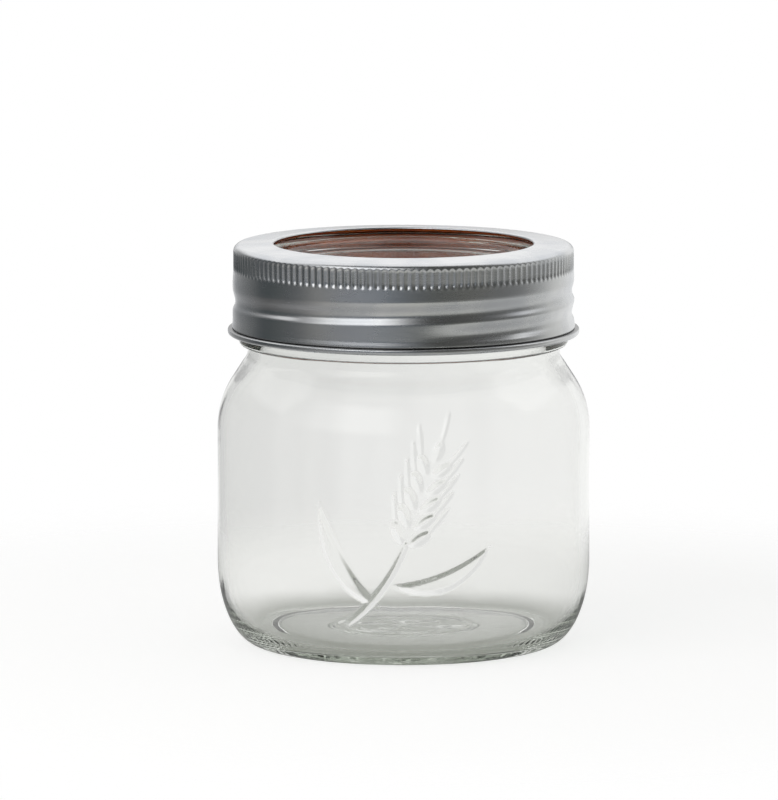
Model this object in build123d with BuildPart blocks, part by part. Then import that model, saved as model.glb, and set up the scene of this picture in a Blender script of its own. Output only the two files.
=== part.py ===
from build123d import *
import os
from math import radians, sqrt, tan

# A half-litre glass preserving jar: a shouldered glass body, a dished glass lid,
# a flat rubber ring between the two, and a knurled metal band that screws them together.
# The jar stands on the XY plane with its axis on +Z. Lengths are in millimetres, angles in degrees.

# Mouth of the glass body: the neck, the body, the lid and the band all follow its radius
finish_radius = 43.9
rim_width = 5.5

# Glass body, outwards from the mouth
jar_height = 103.8
finish_step = 1.8
shoulder_width = 7.9
wall = 2.8
shoulder_angle = 33.0
shoulder_radius = 24.0
neck_fillet = 5.5

# Heel and foot of the glass body
heel_rise = 22.5
heel_run = 10.8
bearing_width = 3.4
push_up = 1.6
push_up_slope = 2.0
floor_height = 6.2
floor_corner = 15.0

# Finish of the glass body: collar bead, straight mouth and flat sealing rim
bore_fillet = 8.0
rim_chamfer = 0.6
collar_bead_radius = 2.5
collar_below_band = 1.55
neck_below_collar = 2.2

# Rubber ring
ring_thickness = 1.6
ring_inset = 0.5

# Glass lid
lid_rim_thickness = 2.2
lid_clearance = 0.8
lid_chamfer = 0.5
lid_glass = 2.5
plug_clearance = 0.5
plug_taper = 0.7
recess_wall_run = 1.3
shelf_depth = 3.4
shelf_width = 5.1
recess_depth = 5.2
recess_slope_run = 3.0

# Screw band, with the room between it and the glass that the thread takes up
thread_room = 1.5
sheet = 0.4
band_height = 24.45
band_corner = 1.75
flat_width = 11.0
hem_depth = 1.1
hem_clearance = 0.9
bead_radius = 0.92
bead_offset = 0.2

# Knurled grip pressed into the screw band
flute_count = 144
flute_radius = 1.0
flute_depth = 0.3
knurl_height = 5.2
knurl_below_corner = 0.3

# Heights of the closure, stacked on the glass rim
ring_top = jar_height + ring_thickness
lid_top = ring_top + lid_rim_thickness
band_top = lid_top + sheet
band_bottom = band_top - band_height

# Radii of the glass body, outwards and inwards from the mouth
neck_radius = finish_radius - finish_step
body_radius = neck_radius + shoulder_width
bore_radius = finish_radius - rim_width

# Radii of the closure, which fits round the mouth and into it
band_inner = finish_radius + thread_room
band_radius = band_inner + sheet
opening_radius = band_radius - flat_width
lid_radius = band_inner - lid_clearance
plug_radius = bore_radius - plug_clearance

# Places on the glass body that follow from the sizes above
foot_radius = body_radius - heel_run
bearing_inner = foot_radius - bearing_width
inner_radius = body_radius - wall
collar_height = band_bottom - collar_below_band
collar_bottom = collar_height - collar_bead_radius
collar_top = collar_height + sqrt(collar_bead_radius**2 - (finish_radius - neck_radius) ** 2)
neck_height = collar_bottom - neck_below_collar
shoulder_slope = tan(radians(shoulder_angle))
shoulder_height = neck_height - (body_radius - neck_radius) / shoulder_slope
inner_shoulder_height = shoulder_height - wall * tan(radians(shoulder_angle / 2))
inner_neck_height = inner_shoulder_height + (inner_radius - bore_radius) / shoulder_slope

# Glass body: its outside and inside close one section that is turned about the axis
with BuildPart() as glass_jar:
    with BuildSketch(Plane.XZ):
        with BuildLine():
            EllipticalCenterArc(
                (foot_radius, heel_rise), heel_run, heel_rise, start_angle=270, arc_size=90
            )
            FilletPolyline(
                (body_radius, heel_rise),
                (body_radius, shoulder_height),
                (neck_radius, neck_height),
                (neck_radius, collar_bottom),
                radius=[shoulder_radius, neck_fillet],
            )
            ThreePointArc(
                (neck_radius, collar_bottom),
                (neck_radius + collar_bead_radius, collar_height),
                (finish_radius, collar_top),
            )
            Polyline(
                (finish_radius, collar_top),
                (finish_radius, jar_height - rim_chamfer),
                (finish_radius - rim_chamfer, jar_height),
                (bore_radius + rim_chamfer, jar_height),
                (bore_radius, jar_height - rim_chamfer),
            )
            FilletPolyline(
                (bore_radius, jar_height - rim_chamfer),
                (bore_radius, inner_neck_height),
                (inner_radius, inner_shoulder_height),
                (inner_radius, floor_height),
                (0, floor_height),
                radius=[bore_fillet, shoulder_radius - wall, floor_corner],
            )
            Polyline(
                (0, floor_height),
                (0, push_up),
                (bearing_inner - push_up_slope, push_up),
                (bearing_inner, 0),
                (foot_radius, 0),
            )
        make_face()
    revolve(axis=Axis.Z)

# Rubber ring: flat, and a little narrower than the glass rim that it lies on
with BuildPart() as sealing_ring:
    with BuildSketch(Plane.XY.offset(jar_height)):
        Circle(finish_radius - ring_inset)
        Circle(bore_radius + ring_inset, mode=Mode.SUBTRACT)
    extrude(amount=ring_thickness)

# Glass lid: a flat rim over the rubber ring, and a dished middle that drops into the mouth
recess_rim_radius = opening_radius + sheet + hem_clearance
shelf_outer_radius = recess_rim_radius - recess_wall_run
shelf_inner_radius = shelf_outer_radius - shelf_width
shelf_height = lid_top - shelf_depth
recess_floor = lid_top - recess_depth
recess_floor_radius = shelf_inner_radius - recess_slope_run

with BuildPart() as lid_insert:
    with BuildSketch(Plane.XZ):
        with BuildLine():
            Polyline(
                (0, recess_floor),
                (recess_floor_radius, recess_floor),
                (shelf_inner_radius, shelf_height),
                (shelf_outer_radius, shelf_height),
                (recess_rim_radius, lid_top),
                (lid_radius - lid_chamfer, lid_top),
                (lid_radius, lid_top - lid_chamfer),
                (lid_radius, ring_top + lid_chamfer),
                (lid_radius - lid_chamfer, ring_top),
                (plug_radius, ring_top),
                (plug_radius - plug_taper, shelf_height - lid_glass),
                (shelf_inner_radius + lid_chamfer, shelf_height - lid_glass),
                (recess_floor_radius + lid_chamfer, recess_floor - lid_glass),
                (0, recess_floor - lid_glass),
                (0, recess_floor),
            )
        make_face()
    revolve(axis=Axis.Z)

# Screw band: one sheet with a turned-down hem, a flat top, a skirt and a tight rolled bead,
# and a thicker grip zone whose flutes stand all round the wall
bead_centre_radius = band_radius + bead_offset
bead_height = band_bottom + bead_radius
knurl_top = band_top - band_corner - knurl_below_corner

with BuildPart() as screw_band:
    with BuildSketch(Plane.XZ):
        with BuildLine():
            sheet_outside = FilletPolyline(
                (opening_radius, band_top - hem_depth),
                (opening_radius, band_top),
                (band_radius, band_top),
                (band_radius, bead_height),
                radius=[0, band_corner],
            )
            offset(sheet_outside, amount=sheet, side=Side.RIGHT)
        make_face()
        with Locations((band_inner, knurl_top)):
            Rectangle(flute_depth, knurl_height, align=Align.MAX)
        with Locations((bead_centre_radius, bead_height)):
            Circle(bead_radius)
    revolve(axis=Axis.Z)
    with BuildSketch(Plane.XY.offset(knurl_top)):
        with PolarLocations(band_radius + flute_radius - flute_depth, flute_count):
            Circle(flute_radius)
    extrude(amount=-knurl_height, mode=Mode.SUBTRACT)

os.makedirs("parts", exist_ok=True)

glass_jar.part.label = "glass_jar"
export_step(glass_jar.part, "parts/glass_jar.step")
sealing_ring.part.label = "sealing_ring"
export_step(sealing_ring.part, "parts/sealing_ring.step")
lid_insert.part.label = "lid_insert"
export_step(lid_insert.part, "parts/lid_insert.step")
screw_band.part.label = "screw_band"
export_step(screw_band.part, "parts/screw_band.step")
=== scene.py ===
"""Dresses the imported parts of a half-litre preserving jar.

A moulded glass jar with a raised wheat sprig, a dished glass lid, a rubber ring and a rolled tinplate
screw band with a gold lacquer inside, on a pale floor in soft studio light. Lengths in this script are
millimetres, and angles are degrees measured about the jar's axis from +X, so the front is at -90.
Meshes are written in metres.
"""

from __future__ import annotations

import logging
import math
from dataclasses import dataclass, field
from enum import Enum

import bpy
import numpy as np
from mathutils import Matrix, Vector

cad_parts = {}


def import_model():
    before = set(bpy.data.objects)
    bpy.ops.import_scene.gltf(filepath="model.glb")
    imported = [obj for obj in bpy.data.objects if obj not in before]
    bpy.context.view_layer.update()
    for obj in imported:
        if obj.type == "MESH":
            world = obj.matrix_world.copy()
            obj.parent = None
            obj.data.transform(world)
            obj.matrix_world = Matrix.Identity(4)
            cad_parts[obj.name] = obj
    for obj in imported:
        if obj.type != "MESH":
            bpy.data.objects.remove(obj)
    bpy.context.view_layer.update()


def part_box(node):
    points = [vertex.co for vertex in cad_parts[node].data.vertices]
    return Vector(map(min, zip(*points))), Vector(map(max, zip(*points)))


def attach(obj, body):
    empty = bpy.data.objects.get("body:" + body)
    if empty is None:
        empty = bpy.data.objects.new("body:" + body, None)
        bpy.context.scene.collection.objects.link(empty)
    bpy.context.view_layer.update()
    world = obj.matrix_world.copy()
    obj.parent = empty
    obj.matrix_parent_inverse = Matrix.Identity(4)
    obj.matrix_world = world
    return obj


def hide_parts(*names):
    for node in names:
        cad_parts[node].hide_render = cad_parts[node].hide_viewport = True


MM = 0.001
TURN = 360.0
FRONT = -90.0
POLE_RADIUS = 1.0
LIGHT_BOUNCES = 24
LOG = logging.getLogger("preserving_jar")

Point = tuple[float, float]
Pair = tuple[float, float]
Shade = float | tuple[float, float, float]
Ramp = tuple[tuple[float, Shade], ...]


class Body(Enum):
    """The bodies that pieces ride on."""

    JAR = "jar"
    LID = "lid"
    BAND = "band"


class Slot(Enum):
    """The record's material slots."""

    GLASS = "glass"
    TINPLATE = "tinplate"
    RUBBER = "rubber"


@dataclass(frozen=True)
class NodeBox:
    """The box of a round CAD node at rest: its radius and its lowest and highest level."""

    radius: float
    bottom: float
    top: float

    @classmethod
    def of(cls, node: str) -> NodeBox:
        """Reads the box of a CAD node from the frame.

        Args:
            node: the node's name.

        Returns:
            The node's box in millimetres.
        """
        low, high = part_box(node)
        reach = max(high.x, high.y, -low.x, -low.y)
        return cls(reach / MM, low.z / MM, high.z / MM)


def smooth_step(x: np.ndarray | float, low: float, high: float) -> np.ndarray:
    """Rises from 0 at low to 1 at high along t squared times three minus twice t.

    Args:
        x: the values.
        low: where the rise starts.
        high: where it ends. It may be below low, and the step then falls.

    Returns:
        The step at each value.
    """
    t = np.clip((np.asarray(x, float) - low) / (high - low), 0.0, 1.0)
    return t * t * (3.0 - 2.0 * t)


@dataclass(frozen=True)
class Leg:
    """A straight leg of an outline: the point it ends at, the fillet there and the spacing of its points."""

    r: float
    z: float
    fillet: float = 0.0
    step: float = 2.0


def arc(centre: Point, radii: Point, start: float, end: float, step: float) -> np.ndarray:
    """Points on an elliptic arc: the centre plus each radius times the cosine and sine of the angle.

    Args:
        centre: the arc's centre, radius and height.
        radii: its half axes along the radius and along the height.
        start: the first angle in degrees.
        end: the last angle in degrees.
        step: the spacing of the points.

    Returns:
        The points, both ends included, one row each.
    """
    sweep = math.radians(abs(end - start)) * max(radii)
    angle = np.radians(np.linspace(start, end, max(3, math.ceil(sweep / step) + 1)))
    return np.column_stack((centre[0] + radii[0] * np.cos(angle), centre[1] + radii[1] * np.sin(angle)))


def rounded_corner(
    before: np.ndarray,
    corner: np.ndarray,
    after: np.ndarray,
    radius: float,
    step: float,
) -> np.ndarray:
    """Points on the arc that rounds a corner.

    The arc touches both legs at the radius times the tangent of half the turn from the corner, and its
    points are the centre plus the radius along directions that turn evenly from one contact to the other.

    Args:
        before: the point that the first leg comes from.
        corner: the corner.
        after: the point that the second leg goes to.
        radius: the arc's radius.
        step: the spacing of the points.

    Returns:
        The arc's points, both contacts included.
    """
    along = (corner - before) / np.linalg.norm(corner - before)
    onward = (after - corner) / np.linalg.norm(after - corner)
    turn = math.acos(float(np.clip(along @ onward, -1.0, 1.0)))
    side = np.sign(along[0] * onward[1] - along[1] * onward[0])
    left = np.array([-along[1], along[0]]) * side
    contact = corner - along * radius * math.tan(turn / 2)
    centre = contact + left * radius
    swing = np.linspace(0.0, turn, max(3, math.ceil(turn * radius / step) + 1))[:, None]
    return centre - left * radius * np.cos(swing) + along * radius * np.sin(swing)


def outline(start: Point, legs: list[Leg]) -> np.ndarray:
    """Walks straight legs, rounds their corners and spaces points along them.

    Args:
        start: the first point, radius and height.
        legs: the legs in order.

    Returns:
        The outline's points, one row each.
    """
    knots = np.array([start] + [(leg.r, leg.z) for leg in legs], float)
    chains = [knots[:1]]
    last = knots[0]
    for i, leg in enumerate(legs):
        rounded = i + 1 < len(legs) and leg.fillet > 0
        bend = (
            rounded_corner(knots[i], knots[i + 1], knots[i + 2], leg.fillet, leg.step)
            if rounded
            else knots[i + 1][None, :]
        )
        count = max(1, round(float(np.linalg.norm(bend[0] - last)) / leg.step))
        share = np.linspace(0.0, 1.0, count + 1)[1:, None]
        chains.append(last + (bend[0] - last) * share)
        chains.append(bend[1:])
        last = bend[-1]
    return np.vstack(chains)


def even_columns(count: int) -> np.ndarray:
    """Angles spaced evenly round the axis, in degrees, from the front."""
    return FRONT + np.arange(count) * TURN / count


@dataclass(frozen=True)
class Crowding:
    """Columns that crowd together in front, where the raised sprig is.

    Their density is 1 plus the gain times a step that falls from 1 inside the half width to 0 at the
    fade's share of it. The density is summed along the circle and the sum is cut into equal parts.
    """

    half_width: float = 24.0
    gain: float = 5.0
    fade_share: float = 1.33
    samples: int = 7201

    def columns(self, count: int, radius: float) -> np.ndarray:
        """Places the columns.

        Args:
            count: how many columns.
            radius: the wall's radius.

        Returns:
            The columns' angles in degrees.
        """
        fine = np.linspace(-TURN / 2, TURN / 2, self.samples)
        across = np.abs(np.radians(fine)) * radius
        density = 1.0 + self.gain * smooth_step(across, self.half_width * self.fade_share, self.half_width)
        total = np.concatenate(([0.0], np.cumsum((density[1:] + density[:-1]) / 2)))
        part = np.arange(count) / count
        return FRONT + np.interp(part * total[-1], total, fine)


def turned(
    rows: np.ndarray,
    angles: np.ndarray,
    out: np.ndarray | float = 0.0,
    up: np.ndarray | float = 0.0,
) -> np.ndarray:
    """Turns an outline about the axis: x is the radius times the cosine, y is the radius times the sine.

    Args:
        rows: the outline's rows of radius and height.
        angles: the columns' angles in degrees.
        out: what the radius gains, rows by columns.
        up: what the height gains, rows by columns.

    Returns:
        Points, rows by columns by three.
    """
    turn = np.radians(angles)[None, :]
    radius, height, turn = np.broadcast_arrays(rows[:, :1] + out, rows[:, 1:] + up, turn)
    return np.stack((radius * np.cos(turn), radius * np.sin(turn), height), axis=2)


def ridge(away: np.ndarray) -> np.ndarray:
    """The square of a cosine: 1 where away is 0, down to 0 where it is 1 or more to either side."""
    return np.cos(np.clip(away, -1.0, 1.0) * np.pi / 2) ** 2


@dataclass
class Skin:
    """Rings of points that become one closed mesh.

    Neighbouring rings have the same number of points, or one has a whole number of times as many as
    the other. A ring of one point is a pole.
    """

    rings: list[np.ndarray] = field(default_factory=list)
    slots: list[int] = field(default_factory=list)

    def add(self, points: np.ndarray, slot: int = 0) -> None:
        """Adds rings in order.

        Args:
            points: rows by columns by three.
            slot: the material slot of the faces that follow each ring.
        """
        self.rings.extend(points)
        self.slots.extend([slot] * len(points))

    def add_pole(self, height: float, slot: int = 0) -> None:
        """Adds a point on the axis."""
        self.add(np.array([[[0.0, 0.0, height]]]), slot)

    @staticmethod
    def _between(first: int, n: int, second: int, m: int) -> np.ndarray:
        """The faces between two rings, one row each.

        Point i of a ring of n faces points i times m over n of the other. A face takes one step on the
        coarser ring and all the steps beside it on the finer one.

        Args:
            first: the index of the lower ring's first point.
            n: how many points it has.
            second: the index of the upper ring's first point.
            m: how many points it has.

        Returns:
            Point indices, one face a row.
        """
        if n == 1 or m == 1:
            many = max(n, m)
            i = np.arange(many)
            j = (i + 1) % many
            if n == 1:
                return np.column_stack((np.full(many, first), second + j, second + i))
            return np.column_stack((first + i, first + j, np.full(many, second)))
        few = min(n, m)
        i = np.arange(few)[:, None]
        low = first + (i * (n // few) + np.arange(n // few + 1)[None, :]) % n
        high = second + (i * (m // few) + np.arange(m // few + 1)[None, ::-1]) % m
        return np.hstack((low, high))

    def build(
        self,
        name: str,
        materials: list[bpy.types.Material],
        wrap: bool = False,
        turn_over: bool = False,
    ) -> bpy.types.Object:
        """Writes the rings into a mesh.

        Args:
            name: the piece's name.
            materials: the materials of its slots.
            wrap: whether the last ring joins the first.
            turn_over: whether the faces are turned over, because the rings run down the outside.

        Returns:
            The new object, at the origin.
        """
        counts = [len(ring) for ring in self.rings]
        starts = np.concatenate(([0], np.cumsum(counts)))
        order = range(len(counts) if wrap else len(counts) - 1)
        faces, slots = [], []
        for k in order:
            after = (k + 1) % len(counts)
            face = self._between(starts[k], counts[k], starts[after], counts[after])
            faces.append(face)
            slots.append(np.full(len(face), self.slots[k]))
        sizes = np.concatenate([np.full(len(face), face.shape[1]) for face in faces])
        corners = np.concatenate([face.ravel() for face in faces])
        points = np.vstack(self.rings) * MM
        mesh = bpy.data.meshes.new(name)
        mesh.vertices.add(len(points))
        mesh.vertices.foreach_set("co", points.astype(np.float32).ravel())
        mesh.loops.add(len(corners))
        mesh.loops.foreach_set("vertex_index", corners.astype(np.int32))
        mesh.polygons.add(len(sizes))
        loop_starts = np.concatenate(([0], np.cumsum(sizes)[:-1]))
        mesh.polygons.foreach_set("loop_start", loop_starts.astype(np.int32))
        mesh.polygons.foreach_set("material_index", np.concatenate(slots).astype(np.int32))
        mesh.polygons.foreach_set("use_smooth", np.ones(len(sizes), bool))
        mesh.update(calc_edges=True)
        mesh.validate()
        if turn_over:
            mesh.flip_normals()
        for material in materials:
            mesh.materials.append(material)
        piece = bpy.data.objects.new(name, mesh)
        bpy.context.scene.collection.objects.link(piece)
        return piece


class Signal:
    """A socket of a node, with arithmetic that adds Math nodes."""

    def __init__(self, wiring: Wiring, node: bpy.types.Node, output: int | str = 0) -> None:
        """Wraps an output of a node.

        Args:
            wiring: the tree that the node is in.
            node: the node.
            output: the output's number or name.
        """
        self.wiring = wiring
        self.node = node
        self.output = output

    def __getitem__(self, output: int | str) -> Signal:
        """Another output of the same node."""
        return Signal(self.wiring, self.node, output)

    @property
    def socket(self) -> bpy.types.NodeSocket:
        """The wrapped socket."""
        return self.node.outputs[self.output]

    def maths(self, operation: str, *others: Signal | float) -> Signal:
        """Adds a Math node that starts with this signal.

        Args:
            operation: the Math node's operation.
            others: its further inputs.

        Returns:
            The node's value.
        """
        values = dict(enumerate((self, *others)))
        return self.wiring.add("ShaderNodeMath", values, operation=operation)

    def __add__(self, other: Signal | float) -> Signal:
        """This plus the other."""
        return self.maths("ADD", other)

    __radd__ = __add__

    def __mul__(self, other: Signal | float) -> Signal:
        """This times the other."""
        return self.maths("MULTIPLY", other)

    __rmul__ = __mul__

    def __sub__(self, other: Signal | float) -> Signal:
        """This less the other."""
        return self.maths("SUBTRACT", other)

    def __rsub__(self, other: float) -> Signal:
        """The other less this."""
        return self.wiring.add("ShaderNodeMath", {0: other, 1: self}, operation="SUBTRACT")

    def step(self, low: float, high: float) -> Signal:
        """A smooth rise from 0 at low to 1 at high.

        Args:
            low: where it starts.
            high: where it ends.

        Returns:
            The risen signal.
        """
        values = {"Value": self, "From Min": low, "From Max": high}
        return self.wiring.add("ShaderNodeMapRange", values, interpolation_type="SMOOTHSTEP")


@dataclass(frozen=True)
class Grain:
    """A noise pattern on a piece's own coordinates.

    scale is its cells per metre, detail its finer layers and stretch its factor along each axis. With a
    spread, the noise rises smoothly from 0 to 1 between those two values.
    """

    scale: float
    detail: float = 3.0
    stretch: tuple[float, float, float] = (1.0, 1.0, 1.0)
    spread: Pair | None = None


class Wiring:
    """The node tree of a material or world, and the one place where nodes are added to it."""

    def __init__(self, owner: bpy.types.Material | bpy.types.World) -> None:
        """Empties the owner's tree.

        Args:
            owner: the material or world.
        """
        owner.use_nodes = True
        self.owner = owner
        self.tree = owner.node_tree
        self.tree.nodes.clear()

    def add(
        self,
        kind: str,
        values: dict[int | str, object] | None = None,
        output: int | str = 0,
        **settings: object,
    ) -> Signal:
        """Adds a node.

        Args:
            kind: the node's type.
            values: a value or a Signal for each named or numbered input. A colour is a Shade.
            output: which output to return.
            settings: the node's settings, set first. The stops of a ramp are pairs of place and Shade.

        Returns:
            That output.
        """
        node = self.tree.nodes.new(kind)
        for name, value in settings.items():
            if name == "stops":
                self._set_stops(node.color_ramp, value)
            else:
                setattr(node, name, value)
        for key, value in (values or {}).items():
            socket = node.inputs[key]
            if isinstance(value, Signal):
                self.tree.links.new(value.socket, socket)
            else:
                socket.default_value = self._rgba(value) if socket.type == "RGBA" else value
        return Signal(self, node, output)

    @staticmethod
    def _rgba(shade: Shade) -> tuple[float, ...]:
        """A colour with an alpha of 1, from a grey or from three parts."""
        parts = (shade, shade, shade) if isinstance(shade, float) else shade
        return (*parts, 1.0)

    def _set_stops(self, ramp: bpy.types.ColorRamp, stops: Ramp) -> None:
        """Gives a colour ramp its stops.

        Args:
            ramp: the ramp.
            stops: pairs of place and Shade.
        """
        while len(ramp.elements) < len(stops):
            ramp.elements.new(1.0)
        for element, (place, shade) in zip(ramp.elements, stops, strict=True):
            element.position = place
            element.color = self._rgba(shade)

    def colour_mix(self, share: Signal | float, first: Signal | Shade, second: Signal | Shade) -> Signal:
        """Mixes two colours, with share of the second."""
        return self.add("ShaderNodeMix", {0: share, 6: first, 7: second}, 2, data_type="RGBA")

    def shader_mix(self, share: Signal | float, first: Signal, second: Signal) -> Signal:
        """Mixes two shaders, with share of the second."""
        return self.add("ShaderNodeMixShader", {0: share, 1: first, 2: second})

    def pattern(self, grain: Grain) -> Signal:
        """Adds a noise pattern on Object coordinates.

        Args:
            grain: the pattern.

        Returns:
            The noise, about 0.5 on average, or its smooth step.
        """
        place = self.add("ShaderNodeTexCoord", output="Object")
        place = self.add("ShaderNodeMapping", {"Vector": place, "Scale": grain.stretch})
        values = {"Vector": place, "Scale": grain.scale, "Detail": grain.detail}
        noise = self.add("ShaderNodeTexNoise", values)
        return noise.step(*grain.spread) if grain.spread else noise

    def round_place(self) -> tuple[Signal, Signal, Signal]:
        """Object coordinates about the jar's axis.

        Returns:
            The angle in radians, the radius and the height in metres.
        """
        place = self.add("ShaderNodeTexCoord", output="Object")
        split = self.add("ShaderNodeSeparateXYZ", {0: place})
        x, y, z = split[0], split[1], split[2]
        radius = (x * x + y * y).maths("SQRT")
        return y.maths("ARCTAN2", x), radius, z

    def bump(self, height: Signal, distance: float, strength: float = 1.0) -> Signal:
        """A normal from a height.

        Args:
            height: the height, from 0 to 1.
            distance: what 1 stands for, in metres.
            strength: how much of it shows.

        Returns:
            The bent normal.
        """
        return self.add("ShaderNodeBump", {"Height": height, "Distance": distance, "Strength": strength})

    def finish(self, surface: Signal, volume: Signal | None = None) -> bpy.types.Material:
        """Adds the output of a material.

        Args:
            surface: the surface shader.
            volume: the volume shader, if any.

        Returns:
            The material.
        """
        values = {"Surface": surface} if volume is None else {"Surface": surface, "Volume": volume}
        self.add("ShaderNodeOutputMaterial", values)
        return self.owner


@dataclass(frozen=True)
class ClearGlass:
    """Moulded soda-lime glass: clear, faintly green where it is thick, with a rippled skin.

    stipples is the number of grip marks moulded round the foot. They start foot_inner from the axis and
    end foot_top above the ground, and come and go over the two fades.
    """

    name: str
    refraction: float = 1.5
    tint: Shade = (0.985, 0.985, 0.98)
    thickness_tint: Shade = (0.45, 0.58, 0.36)
    absorption: float = 8.0
    shadow_tint: Shade = (0.93, 0.95, 0.94)
    ripple: Grain = Grain(45.0, stretch=(1.0, 1.0, 0.4))
    ripple_depth: float = 0.1
    smear: Grain = Grain(22.0, 4.0, (1.0, 1.0, 0.5), (0.45, 0.75))
    smear_roughness: float = 0.02
    stipples: int = 0
    stipple_depth: float = 0.035
    foot_inner: float = 38.4
    foot_inner_fade: float = 0.8
    foot_top: float = 1.6
    foot_top_fade: float = 1.0

    def make(self) -> bpy.types.Material:
        """Builds the material.

        Returns:
            The material.
        """
        wiring = Wiring(bpy.data.materials.new(self.name))
        normal = wiring.bump(wiring.pattern(self.ripple), self.ripple_depth * MM)
        if self.stipples:
            normal = self._stippled(wiring, normal)
        glass = wiring.add(
            "ShaderNodeBsdfPrincipled",
            {
                "Base Color": self.tint,
                "Roughness": wiring.pattern(self.smear) * self.smear_roughness,
                "IOR": self.refraction,
                "Transmission Weight": 1.0,
                "Normal": normal,
            },
        )
        shadow = wiring.add("ShaderNodeLightPath", output="Is Shadow Ray")
        clear = wiring.add("ShaderNodeBsdfTransparent", {"Color": self.shadow_tint})
        depth = {"Color": self.thickness_tint, "Density": self.absorption}
        volume = wiring.add("ShaderNodeVolumeAbsorption", depth)
        return wiring.finish(wiring.shader_mix(shadow, glass, clear), volume)

    def _stippled(self, wiring: Wiring, normal: Signal) -> Signal:
        """Adds the grip marks under the foot: a sine of the angle, inside a ring.

        Args:
            wiring: the material's wiring.
            normal: the normal so far.

        Returns:
            The normal with the marks.
        """
        angle, radius, height = wiring.round_place()
        wave = (angle * float(self.stipples)).maths("SINE") * 0.5 + 0.5
        ring = radius.step(self.foot_inner * MM, (self.foot_inner + self.foot_inner_fade) * MM)
        low = height.step((self.foot_top + self.foot_top_fade) * MM, self.foot_top * MM)
        marks = {"Height": wave * ring * low, "Distance": self.stipple_depth * MM, "Normal": normal}
        return wiring.add("ShaderNodeBump", marks)


@dataclass(frozen=True)
class BrightTinplate:
    """Rolled tinplate: bright, with the mill's fine lines round it and faint cloudy patches.

    A painted dark line stands in for the shade in the crease above the bead, at the height crease.
    """

    name: str = "bright_tinplate"
    colour: Shade = (0.74, 0.75, 0.76)
    cloudy: Shade = (0.62, 0.64, 0.67)
    # painted shade: the dark colour laid in the crease above the bead
    painted_crease_shade: Shade = 0.16
    roughness: float = 0.2
    clouds: Grain = Grain(70.0, 5.0, spread=(0.35, 0.7))
    cloud_roughness: float = 0.06
    lines: Grain = Grain(160.0, 4.0, (1.0, 1.0, 14.0))
    line_roughness: float = 0.08
    line_share: float = 0.7
    specks: Grain = Grain(2600.0, 2.0)
    relief_depth: float = 0.02
    relief_strength: float = 0.6
    crease: float = 85.15
    crease_half_width: float = 0.35

    def make(self) -> bpy.types.Material:
        """Builds the material.

        Returns:
            The material.
        """
        wiring = Wiring(bpy.data.materials.new(self.name))
        clouds = wiring.pattern(self.clouds)
        lines = wiring.pattern(self.lines)
        height = wiring.round_place()[2]
        # a band about the crease, where painted shade darkens the tinplate's colour
        below = height.step((self.crease - self.crease_half_width) * MM, self.crease * MM)
        above = height.step((self.crease + self.crease_half_width) * MM, self.crease * MM)
        colour = wiring.colour_mix(clouds, self.colour, self.cloudy)
        relief = lines * self.line_share + wiring.pattern(self.specks) * (1.0 - self.line_share)
        metal = wiring.add(
            "ShaderNodeBsdfPrincipled",
            {
                "Base Color": wiring.colour_mix(below * above, colour, self.painted_crease_shade),
                "Metallic": 1.0,
                "Roughness": clouds * self.cloud_roughness + lines * self.line_roughness + self.roughness,
                "Normal": wiring.bump(relief, self.relief_depth * MM, self.relief_strength),
            },
        )
        return wiring.finish(metal)


@dataclass(frozen=True)
class GoldLacquer:
    """The stoving lacquer inside the band: a gold-brown film on the tinplate, darker where it ran thick."""

    name: str = "gold_lacquer"
    thin: Shade = (0.38, 0.085, 0.012)
    thick: Shade = (0.24, 0.035, 0.005)
    metallic: float = 0.9
    roughness: float = 0.24
    runs: Grain = Grain(60.0, 4.0, (1.0, 1.0, 2.5), (0.3, 0.7))
    run_roughness: float = 0.1
    coat: float = 0.2
    coat_roughness: float = 0.1
    specks: Grain = Grain(900.0)
    relief_depth: float = 0.02
    relief_strength: float = 0.5

    def make(self) -> bpy.types.Material:
        """Builds the material.

        Returns:
            The material.
        """
        wiring = Wiring(bpy.data.materials.new(self.name))
        runs = wiring.pattern(self.runs)
        specks = wiring.pattern(self.specks)
        film = wiring.add(
            "ShaderNodeBsdfPrincipled",
            {
                "Base Color": wiring.colour_mix(runs, self.thin, self.thick),
                "Metallic": self.metallic,
                "Roughness": runs * self.run_roughness + self.roughness,
                "Coat Weight": self.coat,
                "Coat Roughness": self.coat_roughness,
                "Normal": wiring.bump(specks, self.relief_depth * MM, self.relief_strength),
            },
        )
        return wiring.finish(film)


@dataclass(frozen=True)
class RingRubber:
    """Red-brown natural rubber with a fine dusty grain."""

    name: str = "ring_rubber"
    colour: Shade = (0.40, 0.075, 0.012)
    dusty: Shade = (0.46, 0.12, 0.03)
    roughness: float = 0.5
    specular: float = 0.2
    dust: Grain = Grain(500.0, 4.0, spread=(0.4, 0.7))
    dust_roughness: float = 0.15
    pores: Grain = Grain(2200.0, 2.0)
    pore_depth: float = 0.05
    pore_strength: float = 0.5

    def make(self) -> bpy.types.Material:
        """Builds the material.

        Returns:
            The material.
        """
        wiring = Wiring(bpy.data.materials.new(self.name))
        dust = wiring.pattern(self.dust)
        pores = wiring.pattern(self.pores)
        rubber = wiring.add(
            "ShaderNodeBsdfPrincipled",
            {
                "Base Color": wiring.colour_mix(dust, self.colour, self.dusty),
                "Roughness": dust * self.dust_roughness + self.roughness,
                "Specular IOR Level": self.specular,
                "Normal": wiring.bump(pores, self.pore_depth * MM, self.pore_strength),
            },
        )
        return wiring.finish(rubber)


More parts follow.
